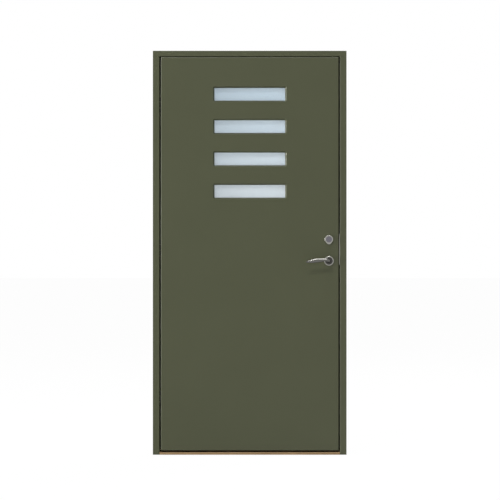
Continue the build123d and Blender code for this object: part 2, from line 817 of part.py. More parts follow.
def shell_top(inner, outer_points):
    """A rose's section: the seen outer points, then its hollow underside round the inner radius."""
    under = ROSE_T - ROSE_HOLLOW
    wall = ROSE_R - ROSE_WALL
    return [(wall, 0), (ROSE_R, 0), *outer_points, (inner, under), (wall, under)]


def lever_rose(y_face, way):
    """A round rose with a bright rim, a groove and a sunk middle round the neck."""
    rim = ROSE_R - ROSE_RIM
    sunk = ROSE_T - ROSE_GROOVE
    middle = ROSE_T - ROSE_SUNK
    return turned(shell_top(NECK_R + NECK_FIT, [
        (ROSE_R, ROSE_T - ROSE_EASE), (ROSE_R - ROSE_EASE, ROSE_T), (rim, ROSE_T), (rim, sunk),
        (rim - ROSE_GROOVE_W, sunk), (rim - ROSE_GROOVE_W, middle), (NECK_R + NECK_FIT, middle),
    ]), HANDLE_Z, y_face, way)


def outer_rose():
    """The outside rose, with two threaded posts that reach into the leaf."""
    shape = lever_rose(0, -1)
    for x, z in rose_bolt_places():
        shape += rod_y(-ROSE_T + ROSE_HOLLOW, POST_IN, x, z, POST_R)
        shape -= rod_y(BOLT_IN, POST_IN + 1, x, z, BOLT_R)
    return one(shape)


def turn_rose():
    """The round rose behind the thumb turn."""
    return one(turned(shell_top(TURN_R + TURN_FIT, [
        (ROSE_R, ROSE_T - ROSE_EASE), (ROSE_R - ROSE_EASE, ROSE_T), (TURN_R + TURN_FIT, ROSE_T),
    ]), CYLINDER_Z, LEAF_D, 1))


def grip(y):
    """The grip: an arched bar of oval section that swells in the hand and tapers to its drooping tip."""
    ovals = [*LEVER_SECTIONS, (1.0, LEVER_TIP_Z, *LEVER_TIP)]
    sections = []
    for share, middle, high, deep in ovals:
        place = Plane(origin=(LOCK_X - share * LEVER_L, y, HANDLE_Z + middle), x_dir=(0, 1, 0), z_dir=(-1, 0, 0))
        sections.append(place * Ellipse(deep, high))
    return loft(sections) + Pos(LOCK_X, y, HANDLE_Z + KNUCKLE_UP) * Sphere(KNUCKLE_R)


def lever(y_face, way):
    """A cast lever: a round neck out of the rose, and a grip that stands clear of the leaf for the hand."""
    middle = y_face + way * LEVER_OUT
    neck = rod_y(*sorted((y_face + way * NECK_START, middle)), LOCK_X, HANDLE_Z, NECK_R)
    return one(grip(middle) + neck - spindle_bar(-SPINDLE_OUT, LEAF_D + SPINDLE_OUT))


def collar_outline():
    """A large circle and a smaller one below it, joined by their two outer tangents."""
    lean = math.asin((RING_R - RING_TIP_R) / RING_TIP_DROP)
    out, down = math.cos(lean), -math.sin(lean)
    corners = [(RING_R * out, RING_R * down), (-RING_R * out, RING_R * down),
               (-RING_TIP_R * out, RING_TIP_R * down - RING_TIP_DROP),
               (RING_TIP_R * out, RING_TIP_R * down - RING_TIP_DROP)]
    bridge = make_face(Polyline(*corners, close=True))
    return Circle(RING_R) + Pos(0, -RING_TIP_DROP) * Circle(RING_TIP_R) + bridge


def cylinder_collar():
    """The egg-shaped collar round the cylinder, narrower below."""
    body = extrude(face_on(0) * (Pos(LOCK_X, CYLINDER_Z) * collar_outline()), amount=RING_T)
    body = fillet(body.faces().sort_by(Axis.Y)[0].edges(), RING_EASE)
    return one(body - rod_y(-RING_T - 1, 1, LOCK_X, CYLINDER_Z, CYLINDER_R))


def cylinder_body():
    """The lock cylinder's housing, from its face in the collar to the lock case."""
    y0, y1 = -RING_T + CYLINDER_SINK, LOCK_Y - CASE_W / 2
    body = rod_y(y0, y1, LOCK_X, CYLINDER_Z, CYLINDER_R)
    body -= rod_y(y0 - 1, y1 + 1, LOCK_X, CYLINDER_Z, PLUG_R + PLUG_FIT)
    for x, z in cylinder_bolt_places():
        body -= rod_y(BOLT_IN, y1 + 1, x, z, BOLT_R)
    return one(body)


def cylinder_plug():
    """The plug with its keyway, and a flat tail into the lock case."""
    y0 = -RING_T + CYLINDER_SINK
    plug = rod_y(y0, PLUG_IN, LOCK_X, CYLINDER_Z, PLUG_R)
    plug -= span(LOCK_X - KEYWAY_W / 2, LOCK_X + KEYWAY_W / 2, y0 - 1, y0 + KEYWAY_DEEP,
                 CYLINDER_Z - KEYWAY_H / 2, CYLINDER_Z + KEYWAY_H / 2)
    tail = span(LOCK_X - TAIL_T / 2, LOCK_X + TAIL_T / 2, PLUG_IN, LOCK_Y - TAIL_AIR,
                CYLINDER_Z - TAIL_H / 2, CYLINDER_Z + TAIL_H / 2)
    return one(plug + tail)


def thumb_turn():
    """The inside turn: a shaft from the lock case, and a flat oval grip."""
    grip_y1 = LEAF_D + ROSE_T + TURN_OUT
    shaft = rod_y(LOCK_Y + TAIL_AIR, grip_y1 - TURN_GRIP / 2, LOCK_X, CYLINDER_Z, TURN_R)
    oval = Pos(LOCK_X, CYLINDER_Z) * Ellipse(TURN_WIDE / 2, TURN_LONG / 2)
    grip = extrude(face_on(grip_y1) * oval, amount=TURN_GRIP)
    grip = fillet(grip.faces().sort_by(Axis.Y)[-1].edges(), TURN_EASE)
    return one(shaft + grip)


def rose_bolt_places():
    return [(LOCK_X, HANDLE_Z + dz) for dz in (ROSE_BOLT_OFF, -ROSE_BOLT_OFF)]


def cylinder_bolt_places():
    return [(LOCK_X + dx, CYLINDER_Z) for dx in (-CYL_BOLT_OFF, CYL_BOLT_OFF)]


def bolt_room(y0, y1):
    """Clearance holes for the four bolts through the leaf."""
    out = None
    for x, z in rose_bolt_places() + cylinder_bolt_places():
        hole = rod_y(y0, y1, x, z, BOLT_HOLE_R)
        out = hole if out is None else out + hole
    return out


def through_bolts():
    """Bolts from inside: a pair into the outside rose's posts and a pair into the cylinder's housing."""
    out = []
    for x, z in rose_bolt_places() + cylinder_bolt_places():
        shank = rod_y(BOLT_IN, LEAF_D, x, z, BOLT_R)
        cap = rod_y(LEAF_D, LEAF_D + BOLT_HEAD, x, z, BOLT_HEAD_R)
        socket = extrude(face_on(LEAF_D + BOLT_HEAD) * (Pos(x, z) * RegularPolygon(DRIVE_R, 6)), amount=DRIVE_DEEP)
        out.append(shank + fillet(cap.edges().sort_by(Axis.Y)[-1], 0.6) - socket)
    return group(out)


def build():
    save(hinge_jamb(), "hinge_jamb")
    save(lock_jamb(), "lock_jamb")
    save(head(), "head")
    save(door_stops(), "door_stops")
    save(threshold(), "threshold")
    save(seal(), "frame_seal")
    save(corner_screws(), "corner_screws")
    save(fixing_sleeves(), "fixing_sleeves")
    save(strike_plate(), "strike_plate")
    save(group([strike_box()]), "strike_boxes")
    save(strike_screws(), "strike_screws")
    for name, z in zip(("lower", "middle", "upper"), HINGE_Z):
        save(cup(z, -1), f"{name}_frame_cup")
        save(cup(z, 1), f"{name}_leaf_cup")
    save(hinge_pins(-1), "frame_hinge_pins")
    save(hinge_pins(1), "leaf_hinge_pins")
    save(cup_screws(-1), "frame_cup_screws")
    save(cup_screws(1), "leaf_cup_screws")
    save(far_arms(), "outer_hinge_arms")
    save(middle_arms(), "middle_hinge_arms")
    save(outer_skin(), "outer_skin")
    save(inner_skin(), "inner_skin")
    save(hinge_stile(), "hinge_stile")
    save(lock_stile(), "lock_stile")
    save(lock_block(), "lock_block")
    save(rail(LEAF_TOP - TOP_RAIL, LEAF_TOP), "top_rail")
    save(rail(LEAF_BOTTOM, LEAF_BOTTOM + BOTTOM_RAIL), "bottom_rail")
    save(core(), "core_panel")
    save(window_liners(), "window_liners")
    for i, z in enumerate(WINDOW_Z, 1):
        save(outer_bead(z), f"outer_bead_{i}")
        save(pane(UNIT_Y, z), f"outer_pane_{i}")
    save(group([spacer(z) for z in WINDOW_Z]), "glass_spacers")
    save(group([inner_bead(z) for z in WINDOW_Z]), "inner_beads")
    save(group([pane(INNER_PANE_Y, z) for z in WINDOW_Z]), "inner_panes")
    save(lock_case(), "lock_case")
    save(forend(), "forend")
    save(forend_screws(), "forend_screws")
    save(latch_bolt(), "latch_bolt")
    save(dead_bolt(), "dead_bolt")
    save(follower(), "follower")
    save(spindle(), "spindle")
    save(outer_rose(), "outer_rose")
    save(one(lever_rose(LEAF_D, 1)), "inner_rose")
    save(lever(0, -1), "outer_lever")
    save(lever(LEAF_D, 1), "inner_lever")
    save(cylinder_collar(), "cylinder_collar")
    save(cylinder_body(), "cylinder_body")
    save(cylinder_plug(), "cylinder_plug")
    save(turn_rose(), "turn_rose")
    save(thumb_turn(), "thumb_turn")
    save(through_bolts(), "through_bolts")


build()
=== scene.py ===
import math

import bmesh
import bpy
from mathutils import Matrix, Vector


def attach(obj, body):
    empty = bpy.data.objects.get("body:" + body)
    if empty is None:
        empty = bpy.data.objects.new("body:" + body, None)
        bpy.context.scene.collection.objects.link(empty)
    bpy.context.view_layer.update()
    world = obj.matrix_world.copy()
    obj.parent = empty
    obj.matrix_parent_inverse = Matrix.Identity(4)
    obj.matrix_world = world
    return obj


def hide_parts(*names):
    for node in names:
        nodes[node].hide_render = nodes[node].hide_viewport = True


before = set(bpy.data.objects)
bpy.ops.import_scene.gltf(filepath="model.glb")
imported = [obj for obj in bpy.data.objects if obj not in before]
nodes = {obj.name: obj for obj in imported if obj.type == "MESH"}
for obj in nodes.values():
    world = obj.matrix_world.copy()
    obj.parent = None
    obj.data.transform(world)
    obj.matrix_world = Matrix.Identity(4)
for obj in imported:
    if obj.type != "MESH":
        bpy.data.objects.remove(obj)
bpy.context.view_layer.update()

# Camera
# The photograph looks straight at the outer face from far off. One of its pixels is 5.112 mm on that
# face, so the camera stands 14.2 m away with a long lens, level with the middle of the picture. The
# middle of the door's foot lies at column 249.695 and row 454.75 of the picture.
MM = 0.001
PICTURE = 500
PIXEL = 5.112 * MM
FOOT_COLUMN = 249.695
FOOT_ROW = 454.75
CAMERA_BACK = 14.2
CAMERA_REACH = 200.0
SENSOR = 36.0
camera = bpy.data.objects.new("camera", bpy.data.cameras.new("camera"))
bpy.context.scene.collection.objects.link(camera)
camera.data.sensor_width = SENSOR
camera.data.lens = SENSOR * CAMERA_BACK / (PICTURE * PIXEL)
camera.data.clip_end = CAMERA_REACH
camera.location = ((PICTURE / 2 - FOOT_COLUMN) * PIXEL, -CAMERA_BACK, (FOOT_ROW - PICTURE / 2) * PIXEL)
camera.rotation_euler = (math.radians(90), 0, 0)
bpy.context.scene.camera = camera
bpy.context.scene.view_settings.view_transform = "Standard"

# Studio
# A white room with a pale floor. A soft key lamp hangs high in front and a little to the left. One lamp
# low at the left and one over the top draw light lines on the eased edges, and one behind at the right
# lights the back.


def linear(colour):
    """The linear colour of an sRGB hex value such as #535645."""
    parts = [int(colour[i:i + 2], 16) / 255 for i in (1, 3, 5)]
    return (*[c / 12.92 if c <= 0.04045 else ((c + 0.055) / 1.055) ** 2.4 for c in parts], 1.0)


def fill(made, inputs):
    """Sets a node's inputs to values, or links them to other nodes' outputs."""
    for name, value in inputs.items():
        if isinstance(value, bpy.types.NodeSocket):
            made.id_data.links.new(value, made.inputs[name])
        else:
            made.inputs[name].default_value = value


def node(tree, kind, inputs=(), **settings):
    """Adds one shader node with its settings and links."""
    made = tree.nodes.new("ShaderNode" + kind)
    for name, value in settings.items():
        setattr(made, name, value)
    fill(made, dict(inputs))
    return made


def looked_at(tree):
    """One for rays that show a surface to the camera, also in a reflection or through glass, else zero."""
    ray = node(tree, "LightPath").outputs
    straight = {0: ray["Is Camera Ray"], 1: ray["Is Glossy Ray"]}
    direct = node(tree, "Math", straight, operation="MAXIMUM").outputs[0]
    return node(tree, "Math", {0: direct, 1: ray["Is Transmission Ray"]}, operation="MAXIMUM").outputs[0]


# The white room shows as plain white and lights the object with only a part of that
WHITE = linear("#FFFFFF")
ROOM_LIGHT = 0.14
room = bpy.data.worlds.new("studio")
bpy.context.scene.world = room
room.use_nodes = True
tree = room.node_tree
tree.nodes.clear()
shown = {"Value": looked_at(tree), "To Min": ROOM_LIGHT, "To Max": 1.0}
strength = node(tree, "MapRange", shown).outputs[0]
background = node(tree, "Background", {"Color": WHITE, "Strength": strength})
node(tree, "OutputWorld", {"Surface": background.outputs[0]})

# The floor lies half a millimetre low, clear of the feet. What is looked at is nearly all its own white,
# and the rest is matt, which keeps the object's shadow
FLOOR_HALF = 90.0
FLOOR_DROP = 0.5 * MM
FLOOR_WHITE = 0.98
shape = bmesh.new()
bmesh.ops.create_grid(shape, x_segments=1, y_segments=1, size=FLOOR_HALF)
bmesh.ops.translate(shape, vec=(0, 0, -FLOOR_DROP), verts=shape.verts)
mesh = bpy.data.meshes.new("floor")
shape.to_mesh(mesh)
shape.free()
floor = bpy.data.objects.new("floor", mesh)
bpy.context.scene.collection.objects.link(floor)
pale = bpy.data.materials.new("pale_floor")
pale.use_nodes = True
tree = pale.node_tree
tree.nodes.clear()
share = node(tree, "Math", {0: looked_at(tree), 1: FLOOR_WHITE}, operation="MULTIPLY").outputs[0]
matt = node(tree, "BsdfDiffuse", {"Color": linear("#E9E9E8")}).outputs[0]
bright = node(tree, "Emission", {"Color": WHITE, "Strength": 1.0}).outputs[0]
both = node(tree, "MixShader", {0: share, 1: matt, 2: bright}).outputs[0]
node(tree, "OutputMaterial", {"Surface": both})
floor.data.materials.append(pale)

# Each lamp's place and width in metres, and its power in watts. All of them face the middle of the door
LAMPS = {
    "key": ((-2.6, -9.6, 11.4), 2.0, 720.0),
    "left": ((-9.0, -0.9, 1.6), 3.0, 1400.0),
    "top": ((0.4, -1.0, 10.0), 2.6, 520.0),
    "back": ((5.5, 8.0, 8.5), 4.0, 1000.0),
}
DOOR_MIDDLE = Vector((0.0, 0.0, 1.0))
for name, (place, width, power) in LAMPS.items():
    lamp = bpy.data.lights.new(name, "AREA")
    lamp.size = width
    lamp.energy = power
    holder = bpy.data.objects.new(name + "_lamp", lamp)
    holder.location = place
    holder.rotation_euler = (DOOR_MIDDLE - Vector(place)).to_track_quat("-Z", "Y").to_euler()
    bpy.context.scene.collection.objects.link(holder)

# Frame
# Two jambs and a head of planed pine, glued and screwed at the corners, with stops of the same pine
# planted inside. It is sprayed with satin paint at the works, which dries even and soft in its shine,
# and the grain along each piece still shows faintly through it.


def material(name, inputs=()):
    """A material with one Principled surface. Returns it, its node tree and that surface."""
    made = bpy.data.materials.new(name)
    made.use_nodes = True
    surface = made.node_tree.nodes["Principled BSDF"]
    fill(surface, dict(inputs))
    return made, made.node_tree, surface


def give(finish, *names):
    """Puts a material on the slots of CAD nodes."""
    for name in names:
        for slot in nodes[name].material_slots:
            slot.material = finish


def every(size):
    """How many marks a metre holds, from the size of one in millimetres."""
    return 1 / (size * MM)


# A Mix node's colours share their names with its other sockets, so they are reached by number
ONE, OTHER, MIXED = 6, 7, 2

# The spray leaves clouds of 300 mm and a fine orange peel of 1.5 mm, drawn at 4 mm so that it shows
PAINT_DARK, PAINT_LIGHT = "#41442E", "#464933"
SPRAY_CLOUD = 312.5
ORANGE_PEEL = 4.0


def painted(name, grain, depth, roughness):
    """Satin paint over wood. Grain is the size of the wood's marks in millimetres along x, y and z."""
    finish, tree, surface = material(name, {"Specular IOR Level": 0.35})
    where = node(tree, "TexCoord").outputs["Object"]
    sprayed = {"Vector": where, "Scale": every(SPRAY_CLOUD), "Detail": 3.0}
    cloud = node(tree, "TexNoise", sprayed).outputs["Fac"]
    paints = {0: cloud, ONE: linear(PAINT_DARK), OTHER: linear(PAINT_LIGHT)}
    tone = node(tree, "Mix", paints, data_type="RGBA").outputs[MIXED]
    dried = {"Vector": where, "Scale": every(ORANGE_PEEL), "Detail": 2.0}
    peel = node(tree, "TexNoise", dried).outputs["Fac"]
    skin = node(tree, "Bump", {"Height": peel, "Strength": 0.12, "Distance": 0.6 * MM}).outputs[0]
    stretch = [every(size) for size in grain]
    along = node(tree, "Mapping", {"Vector": where, "Scale": stretch}).outputs["Vector"]
    planed = {"Vector": along, "Scale": 1.0, "Detail": 5.0, "Roughness": 0.6}
    fibre = node(tree, "TexNoise", planed).outputs["Fac"]
    raised = {"Height": fibre, "Strength": depth, "Distance": 0.8 * MM, "Normal": skin}
    lines = node(tree, "Bump", raised).outputs[0]
    shine = {"Value": fibre, "To Min": roughness - 0.05, "To Max": roughness + 0.07}
    sheen = node(tree, "MapRange", shine).outputs[0]
    fill(surface, {"Base Color": tone, "Roughness": sheen, "Normal": lines})
    return finish


# Pine's growth lines are about 6 mm apart, and run on for a third of a metre
UPRIGHT_GRAIN = (6.25, 6.25, 333.3)
LEVEL_GRAIN = (333.3, 6.25, 6.25)
upright_pine = painted("satin_paint_on_upright_pine", UPRIGHT_GRAIN, 0.22, 0.40)
level_pine = painted("satin_paint_on_level_pine", LEVEL_GRAIN, 0.22, 0.40)
give(upright_pine, "hinge_jamb", "lock_jamb", "door_stops")
give(level_pine, "head")

# Leaf
# A sandwich: high density board outside and inside, pine stiles and rails round the edge and foam in the
# middle. Board has no grain, so its satin paint is smooth, with soft hollows of 55 mm from pressing.
BOARD_HOLLOW = 55.56
board = painted("satin_paint_on_board", (BOARD_HOLLOW, BOARD_HOLLOW, BOARD_HOLLOW), 0.03, 0.38)
give(board, "outer_skin", "inner_skin")

# Window surrounds
# Moulded rings, put in from each side against the glass and painted with the leaf. Each slopes down to
# the glass. A moulding is denser than board, so the paint on it is flatter and a little glossier.
MOULDED_WAVE = 16.67
moulded = painted("satin_paint_on_moulded_surround", (MOULDED_WAVE, MOULDED_WAVE, MOULDED_WAVE), 0.02, 0.30)
give(moulded, "outer_bead_1", "outer_bead_2", "outer_bead_3", "outer_bead_4", "inner_beads")

# Stiles, rails and linings
# Planed pine, glued between the skins. The leaf's edges and the block round the lock are painted with
# the leaf. The linings round the windows stay bare, pale yellow with brown growth lines 7 mm apart.
LINING_GRAIN = (250.0, 6.667, 6.667)
stile = painted("satin_paint_on_stile", UPRIGHT_GRAIN, 0.15, 0.42)
rail = painted("satin_paint_on_rail", LEVEL_GRAIN, 0.15, 0.42)
give(stile, "hinge_stile", "lock_stile", "lock_block")
give(rail, "top_rail", "bottom_rail")
lining, tree, surface = material("planed_pine_lining", {"Roughness": 0.62})
where = node(tree, "TexCoord").outputs["Object"]
stretch = [every(size) for size in LINING_GRAIN]
along = node(tree, "Mapping", {"Vector": where, "Scale": stretch}).outputs["Vector"]
growth = {"Vector": along, "Scale": 1.0, "Detail": 6.0, "Roughness": 0.62}
rings = node(tree, "TexNoise", growth).outputs["Fac"]
late = node(tree, "MapRange", {"Value": rings, "From Min": 0.42, "From Max": 0.66}).outputs[0]
woods = {0: late, ONE: linear("#D9BD8A"), OTHER: linear("#B98F58")}
wood = node(tree, "Mix", woods, data_type="RGBA").outputs[MIXED]
raised = {"Height": rings, "Strength": 0.25, "Distance": 0.6 * MM}
ridges = node(tree, "Bump", raised).outputs[0]
fill(surface, {"Base Color": wood, "Normal": ridges})
give(lining, "window_liners")

# Insulation
# Rigid polystyrene foam, cut from a block to fill the leaf and glued to both skins. A cut face is a dull
# white, dimpled by the pressed beads of about 4 mm.
FOAM_BEAD = 4.0
foam, tree, surface = material("cut_polystyrene_foam", {"Roughness": 0.9})
where = node(tree, "TexCoord").outputs["Object"]
beads = node(tree, "TexVoronoi", {"Vector": where, "Scale": every(FOAM_BEAD)}).outputs["Distance"]
whites = {0: beads, ONE: linear("#F1EFE8"), OTHER: linear("#D9D6CB")}
tone = node(tree, "Mix", whites, data_type="RGBA").outputs[MIXED]
dimple = node(tree, "Bump", {"Height": beads, "Strength": 0.4, "Distance": 0.8 * MM}).outputs[0]
fill(surface, {"Base Color": tone, "Normal": dimple})
give(foam, "core_panel")

# Threshold
# Solid oak with a clear oil, fixed under the leaf between the jambs' feet. Its grain runs across the
# doorway, in bands about 10 mm wide. The oil gives a low shine, and darkens the open pores.
OAK_GRAIN = (384.6, 14.29, 9.09)
# Oak's pores are 0.3 mm wide streaks a few centimetres long, drawn at 1 mm so that they show
OAK_PORES = (45.45, 1.111, 1.111)
oak, tree, surface = material("oiled_oak")
where = node(tree, "TexCoord").outputs["Object"]
stretch = [every(size) for size in OAK_GRAIN]
along = node(tree, "Mapping", {"Vector": where, "Scale": stretch}).outputs["Vector"]
growth = {"Vector": along, "Scale": 1.0, "Detail": 7.0, "Roughness": 0.6, "Distortion": 0.4}
rings = node(tree, "TexNoise", growth).outputs["Fac"]
band = node(tree, "MapRange", {"Value": rings, "From Min": 0.36, "From Max": 0.64}).outputs[0]
woods = {0: band, ONE: linear("#9C8059"), OTHER: linear("#765B38")}
wood = node(tree, "Mix", woods, data_type="RGBA").outputs[MIXED]
stretch = [every(size) for size in OAK_PORES]
streaks = node(tree, "Mapping", {"Vector": where, "Scale": stretch}).outputs["Vector"]
pores = node(tree, "TexNoise", {"Vector": streaks, "Scale": 1.0, "Detail": 1.0}).outputs["Fac"]
open_pore = node(tree, "MapRange", {"Value": pores, "From Min": 0.60, "From Max": 0.72}).outputs[0]
pored = {0: open_pore, ONE: wood, OTHER: linear("#4C3820")}
wood = node(tree, "Mix", pored, data_type="RGBA").outputs[MIXED]
sunk = {"Height": open_pore, "Strength": 0.35, "Distance": 0.4 * MM}
dent = node(tree, "Bump", sunk, invert=True).outputs[0]
gloss = node(tree, "MapRange", {"Value": band, "To Min": 0.38, "To Max": 0.52}).outputs[0]
fill(surface, {"Base Color": wood, "Roughness": gloss, "Normal": dent})
give(oak, "threshold")

# Seal
# A soft black EPDM strip, extruded and pushed into a groove in the stop. The rubber has a dull skin with
# a fine mottle. Its grain of under 1 mm is drawn at 3 mm so that it shows.
RUBBER_MOTTLE = 3.125
rubber, tree, surface = material("extruded_epdm_rubber", {"Roughness": 0.62, "Specular IOR Level": 0.35})
where = node(tree, "TexCoord").outputs["Object"]
extruded = {"Vector": where, "Scale": every(RUBBER_MOTTLE), "Detail": 3.0}
mottle = node(tree, "TexNoise", extruded).outputs["Fac"]
blacks = {0: mottle, ONE: linear("#141413"), OTHER: linear("#232322")}
tone = node(tree, "Mix", blacks, data_type="RGBA").outputs[MIXED]
skin = node(tree, "Bump", {"Height": mottle, "Strength": 0.2, "Distance": 0.4 * MM}).outputs[0]
fill(surface, {"Base Color": tone, "Normal": skin})
give(rubber, "frame_seal")

# Glass
# Sealed double units, held between the surrounds. The outer pane is clear float glass, with a slight
# wave of 110 mm. The inner one is satin etched on the side towards the outer pane and pale blue, and a
# painted sky reflection makes it a little lighter from one window to the next below it.
FLOAT_WAVE = 111.1
clear_look = {"Base Color": linear("#DCE8EA"), "Roughness": 0.02, "Alpha": 0.10}
clear, tree, surface = material("clear_float_glass", clear_look)
clear.surface_render_method = "BLENDED"
where = node(tree, "TexCoord").outputs["Object"]
wave = node(tree, "TexNoise", {"Vector": where, "Scale": every(FLOAT_WAVE), "Detail": 0.0}).outputs["Fac"]
ripple = node(tree, "Bump", {"Height": wave, "Strength": 0.05, "Distance": 0.5 * MM}).outputs[0]
fill(surface, {"Normal": ripple})
give(clear, "outer_pane_1", "outer_pane_2", "outer_pane_3", "outer_pane_4")

# The painted sky reflection fades the blue from the lowest window's middle to the top one's. The acid
# leaves a grit of 0.05 mm, drawn at 1.4 mm so that it shows
LOWEST_WINDOW, TOP_WINDOW = 1.34, 1.84
ETCHED_GRIT = 1.4286
etched, tree, surface = material("satin_etched_glass", {"Transmission Weight": 0.5})
where = node(tree, "TexCoord").outputs["Object"]
height = node(tree, "SeparateXYZ", {0: where}).outputs["Z"]
windows = {"Value": height, "From Min": LOWEST_WINDOW, "From Max": TOP_WINDOW}
# Painted sky reflection: the pale blue is made paler lower down, by height alone
painted_sky_rise = node(tree, "MapRange", windows).outputs[0]
painted_sky_blues = {0: painted_sky_rise, ONE: linear("#EEF6FC"), OTHER: linear("#DAEBF8")}
blue_with_painted_sky = node(tree, "Mix", painted_sky_blues, data_type="RGBA").outputs[MIXED]
grit = node(tree, "TexNoise", {"Vector": where, "Scale": every(ETCHED_GRIT), "Detail": 2.0}).outputs["Fac"]
cloud = node(tree, "MapRange", {"Value": grit, "To Min": 0.40, "To Max": 0.52}).outputs[0]
frost = node(tree, "Bump", {"Height": grit, "Strength": 0.08, "Distance": 0.3 * MM}).outputs[0]
fill(surface, {"Base Color": blue_with_painted_sky, "Roughness": cloud, "Normal": frost})
give(etched, "inner_panes")

# Spacers
# Rolled aluminium tube, bent to a ring and bonded between the two panes of each unit. It is left bright
# from the mill, with fine lines from drawing, which are 0.1 mm wide and drawn here at 0.7 mm to show.
DRAWN_LINES = (25.0, 0.6667, 0.6667)


def metal(name, colour, dark, roughness, marks, depth, spread=0.06):
    """A metal with the marks of how it was worked, whose size is in millimetres along x, y and z."""
    finish, tree, surface = material(name, {"Metallic": 1.0})
    where = node(tree, "TexCoord").outputs["Object"]
    stretch = [every(size) for size in marks]
    along = node(tree, "Mapping", {"Vector": where, "Scale": stretch}).outputs["Vector"]
    fine = {"Vector": along, "Scale": 1.0, "Detail": 4.0, "Roughness": 0.6}
    worked = node(tree, "TexNoise", fine).outputs["Fac"]
    tones = {0: worked, ONE: linear(colour), OTHER: linear(dark)}
    tone = node(tree, "Mix", tones, data_type="RGBA").outputs[MIXED]
    shine = {"Value": worked, "To Min": roughness - spread, "To Max": roughness + spread}
    gloss = node(tree, "MapRange", shine).outputs[0]
    bump = node(tree, "Bump", {"Height": worked, "Strength": depth, "Distance": 0.3 * MM}).outputs[0]
    fill(surface, {"Base Color": tone, "Roughness": gloss, "Normal": bump})
    return finish


aluminium = metal("mill_aluminium", "#D2D3D4", "#BFC1C3", 0.35, DRAWN_LINES, 0.15)
give(aluminium, "glass_spacers")

# Hinges
# Three hinges with crossing arms, which leave no knuckle outside. Cast zinc cups, screwed into the jamb
# and the leaf, and pressed steel arms are coloured dark grey as painted shade for the gap, over the
# casting's grain of 2 mm and the steel's rolling lines. The arms turn on ground steel pins.
CAST_GRAIN = (2.381, 2.381, 2.381)
# The rolling lines and the rings from grinding are 0.1 mm wide, drawn at 1.1 and 0.4 mm so that they show
ROLLED_LINES = (16.67, 1.111, 1.111)
GROUND_RINGS = (16.67, 16.67, 0.3846)
# The cups' and arms' dark grey is painted shade for the gap between leaf and jamb
cast = metal("cast_zinc_painted_shade", "#474745", "#3A3A38", 0.48, CAST_GRAIN, 0.35)
pressed = metal("pressed_steel_painted_shade", "#3C3C3A", "#30302F", 0.42, ROLLED_LINES, 0.20)
ground = metal("ground_steel_pin", "#C9C9C7", "#B4B4B1", 0.18, GROUND_RINGS, 0.10)
give(cast, *[name for name in nodes if name.endswith("_cup")])
give(pressed, "outer_hinge_arms", "middle_hinge_arms")
give(ground, "frame_hinge_pins", "leaf_hinge_pins")

# Screws, bolts and sleeves
# Steel with bright zinc plating. Screws and bolts hold the pieces together, and sleeves in the jambs take
# the frame's fixings. The plating bath leaves a touch of blue and a fine cloudiness of 2 mm.
PLATING_CLOUD = (2.0, 2.0, 2.0)
plated = metal("bright_zinc_plated_steel", "#C3C7CA", "#A7A9A6", 0.26, PLATING_CLOUD, 0.12)
give(plated, "corner_screws", "fixing_sleeves", "strike_screws", "frame_cup_screws", "leaf_cup_screws")
give(plated, "forend_screws", "through_bolts")

# Strike and forend
# Cut from satin stainless strip and screwed to the lock jamb and to the leaf's edge. Brushing leaves
# scratches along its length, 0.1 mm wide and drawn at 0.8 mm so that they show.
BRUSHED_UP = (0.8333, 0.8333, 71.43)
satin = metal("brushed_stainless_strip", "#8F8F89", "#7C7C77", 0.38, BRUSHED_UP, 0.22)
give(satin, "strike_plate", "forend")

# The dust boxes behind the strike are moulded plastic. The tool's spark texture of 0.2 mm is drawn at
# 1 mm so that it shows
SPARK_TEXTURE = 1.111
moulding, tree, surface = material("black_moulded_polypropylene", {"Roughness": 0.5})
where = node(tree, "TexCoord").outputs["Object"]
sparked = {"Vector": where, "Scale": every(SPARK_TEXTURE), "Detail": 2.0}
spark = node(tree, "TexNoise", sparked).outputs["Fac"]
blacks = {0: spark, ONE: linear("#161616"), OTHER: linear("#242424")}
tone = node(tree, "Mix", blacks, data_type="RGBA").outputs[MIXED]
pitted = node(tree, "Bump", {"Height": spark, "Strength": 0.3, "Distance": 0.3 * MM}).outputs[0]
fill(surface, {"Base Color": tone, "Normal": pitted})
give(moulding, "strike_boxes")

# Lock
# A case of folded zinc plated sheet, let into the lock stile, and its follower. The latch, the dead bolt
# and the square spindle are ground steel. The lines from rolling and grinding are 0.1 mm wide, drawn at
# 1.4 and 0.6 mm so that they show.
SHEET_LINES = (1.429, 1.429, 25.0)
GROUND_LINES = (33.33, 0.625, 0.625)
case = metal("zinc_plated_lock_sheet", "#B9BBBB", "#A3A5A3", 0.36, SHEET_LINES, 0.15)
bolt_steel = metal("ground_bolt_steel", "#C4C4C1", "#ABABA7", 0.24, GROUND_LINES, 0.15)
give(case, "lock_case", "follower")
give(bolt_steel, "latch_bolt", "dead_bolt", "spindle")

# Cylinder
# A brass housing and its plug, turned and plated with satin nickel, and pushed through the lock. The
# plating is even and soft in its shine, with a fine cloud of 0.3 mm, drawn at 1 mm so that it shows.
FINE_MARKS = (1.111, 1.111, 1.111)
nickel = metal("satin_nickel_plated_brass", "#7A787E", "#656369", 0.30, FINE_MARKS, 0.12)
give(nickel, "cylinder_body", "cylinder_plug")

# Levers, roses and collar
# Stainless steel, bolted through the leaf. The levers are cast and polished, with a faint cloud of 4 mm
# from the wheel. The roses are turned, with rims as bright as the collar and a middle darkened as
# painted shade. The polished steel's colour is darker than bare steel's, as a painted reflection of a
# dark room, which a white studio would wash out.
POLISHED_CLOUD = (3.846, 3.846, 3.846)
# Its dark colour is a painted reflection of a dark room, on the levers and the thumb turn
polished = metal("polished_stainless_painted_dark_reflection", "#6D6C69", "#5E5D5A", 0.19, POLISHED_CLOUD, 0.05, spread=0.04)
